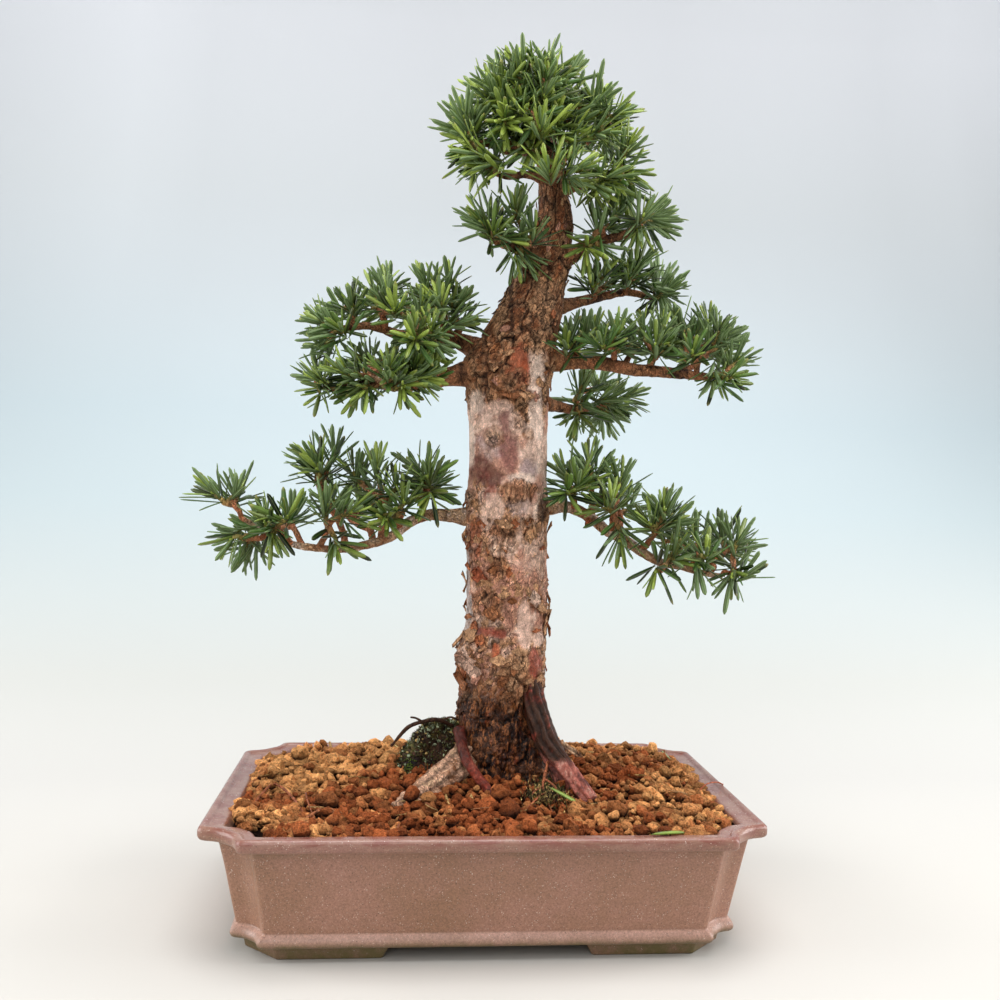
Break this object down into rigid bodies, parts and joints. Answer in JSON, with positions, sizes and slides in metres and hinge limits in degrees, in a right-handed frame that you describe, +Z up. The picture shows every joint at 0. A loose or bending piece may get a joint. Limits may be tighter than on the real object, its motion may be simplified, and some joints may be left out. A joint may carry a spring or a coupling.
{
  "type": "japanese yew bonsai",
  "caption": "Upright yew bonsai with a thick aged trunk, needle pads at the branch ends and a heaped clay soil, in a rectangular stoneware pot with notched corners and a lipped rim.",
  "frame": {"origin": "middle of the pot's footprint, on the plane that its feet stand on", "axes": "+Z up along the trunk, +X to the right along the pot's long side, +Y to the back, away from the front that is shown"},
  "size_m": [0.3135, 0.188, 0.4669],
  "materials": {
    "stoneware": "satin",
    "net": "matte",
    "clay_grains": "matte",
    "bark": "matte",
    "needles": "satin"
  },
  "bodies": {
    "root": {"pot": "stoneware", "drain_mesh_left": "net", "drain_mesh_right": "net", "soil": "clay_grains", "trunk_and_branches": "bark", "spray_lower_left_tip": "needles", "spray_lower_left_tip_low": "needles", "spray_lower_left_outer": "needles", "spray_lower_left_middle": "needles", "spray_lower_left_high": "needles", "spray_lower_left_inner": "needles", "spray_lower_left_shade": "needles", "spray_lower_left_near": "needles", "spray_lower_left_back_outer": "needles", "spray_lower_left_back_inner": "needles", "spray_lower_right_near": "needles", "spray_lower_right_high": "needles", "spray_lower_right_inner": "needles", "spray_lower_right_middle": "needles", "spray_lower_right_low": "needles", "spray_lower_right_outer": "needles", "spray_lower_right_tip": "needles", "spray_lower_right_tip_high": "needles", "spray_lower_right_back_inner": "needles", "spray_lower_right_back_outer": "needles", "spray_middle_left_low_tip": "needles", "spray_middle_left_low_inner": "needles", "spray_middle_left_tip": "needles", "spray_middle_left_high_outer": "needles", "spray_middle_left_crest": "needles", "spray_middle_left_front": "needles", "spray_middle_left_peak": "needles", "spray_middle_left_inner": "needles", "spray_middle_left_back_high": "needles", "spray_middle_left_back_low": "needles", "spray_middle_right_tip": "needles", "spray_middle_right_outer": "needles", "spray_middle_right_top": "needles", "spray_middle_right_middle": "needles", "spray_middle_right_inner": "needles", "spray_middle_right_near": "needles", "spray_middle_right_back_inner": "needles", "spray_middle_right_back_outer": "needles", "spray_behind_trunk_outer": "needles", "spray_behind_trunk_inner": "needles", "spray_upper_right_inner": "needles", "spray_upper_right_middle": "needles", "spray_upper_right_tip": "needles", "spray_high_right_tip": "needles", "spray_high_right_inner": "needles", "spray_high_left_tip": "needles", "spray_high_left_near": "needles", "spray_crown_low_left": "needles", "spray_crown_left": "needles", "spray_crown_front": "needles", "spray_crown_low_right": "needles", "spray_crown_right": "needles", "spray_crown_top": "needles", "spray_crown_top_left": "needles", "spray_crown_back": "needles"}
  },
  "joints": []
}
